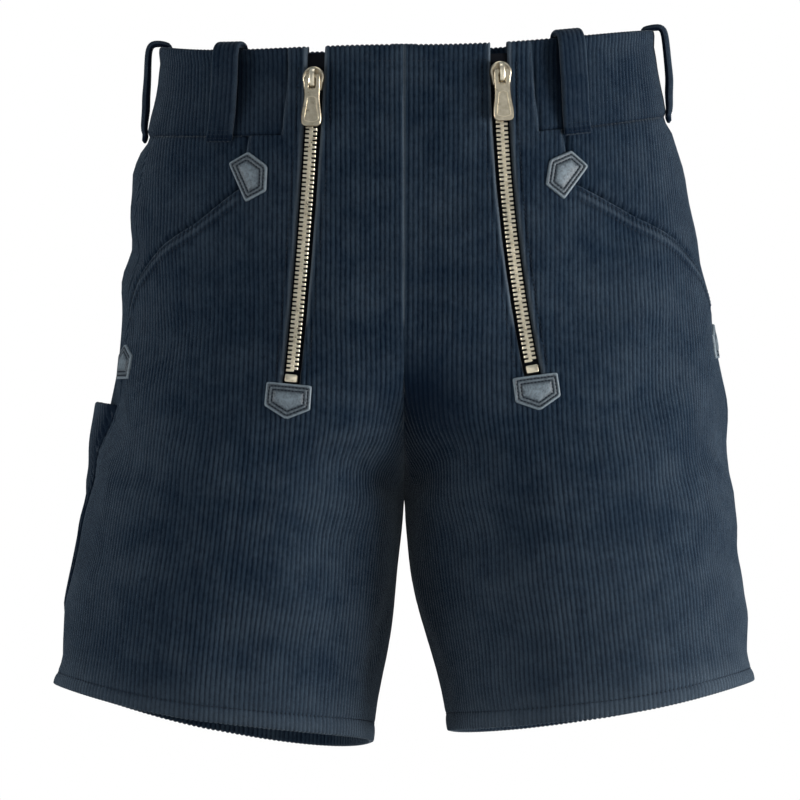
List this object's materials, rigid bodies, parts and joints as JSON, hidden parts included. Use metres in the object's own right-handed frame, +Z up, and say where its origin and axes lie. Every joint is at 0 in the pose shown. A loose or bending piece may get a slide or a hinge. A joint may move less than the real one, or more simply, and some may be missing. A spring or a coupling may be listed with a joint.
{
  "type": "corduroy shorts",
  "caption": "Wide-wale corduroy work shorts, filled out and hollow, with a front flap between brass zips, leather patches, belt loops and a ruler pocket.",
  "frame": {"origin": "the middle of the waist, halfway up the waistband, where the wearer holds the shorts", "axes": "+Z up, -Y to the front of the shorts, +X to the wearer's left"},
  "size_m": [0.4554, 0.2883, 0.4704],
  "materials": {
    "corduroy": "wide-wale cotton corduroy, blue-black, with a soft sheen on the pile",
    "patch_leather": "dark grey-blue grained leather with stitched edges",
    "zip_tape": "black woven zip tape",
    "zip_brass": "pale polished brass"
  },
  "bodies": {
    "shorts": {"front_right": "corduroy", "front_left": "corduroy", "pocket_right": "corduroy", "pocket_left": "corduroy", "back_right": "corduroy", "back_left": "corduroy", "band_right": "corduroy", "band_left": "corduroy", "ruler_pocket_right": "corduroy", "loop_front_right": "corduroy", "loop_front_left": "corduroy", "loop_side_right": "corduroy", "loop_side_left": "corduroy", "loop_back": "corduroy", "zip_tape_right": "zip_tape", "zip_tape_left": "zip_tape", "zip_chain_right": "zip_brass", "zip_chain_left": "zip_brass", "zip_stop_right": "zip_brass", "zip_stop_left": "zip_brass", "zip_slider_right": "zip_brass", "zip_slider_left": "zip_brass", "patch_pocket_right": "patch_leather", "patch_pocket_left": "patch_leather", "patch_zip_right": "patch_leather", "patch_zip_left": "patch_leather", "patch_side_right": "patch_leather", "patch_side_left": "patch_leather"},
    "pull_right": {"zip_pull_right": "zip_brass"},
    "pull_left": {"zip_pull_left": "zip_brass"}
  },
  "joints": [
    {"name": "pull_right_swing", "type": "hinge", "parent": "shorts", "child": "pull_right", "pos_m": [-0.05909, -0.10839, 0.00807], "axis": [-0.9794, 0.2016, 0.0101], "range_deg": [0, 170]},
    {"name": "pull_left_swing", "type": "hinge", "parent": "shorts", "child": "pull_left", "pos_m": [0.06307, -0.10781, 0.01157], "axis": [-0.9793, -0.2003, -0.0297], "range_deg": [0, 170]}
  ]
}
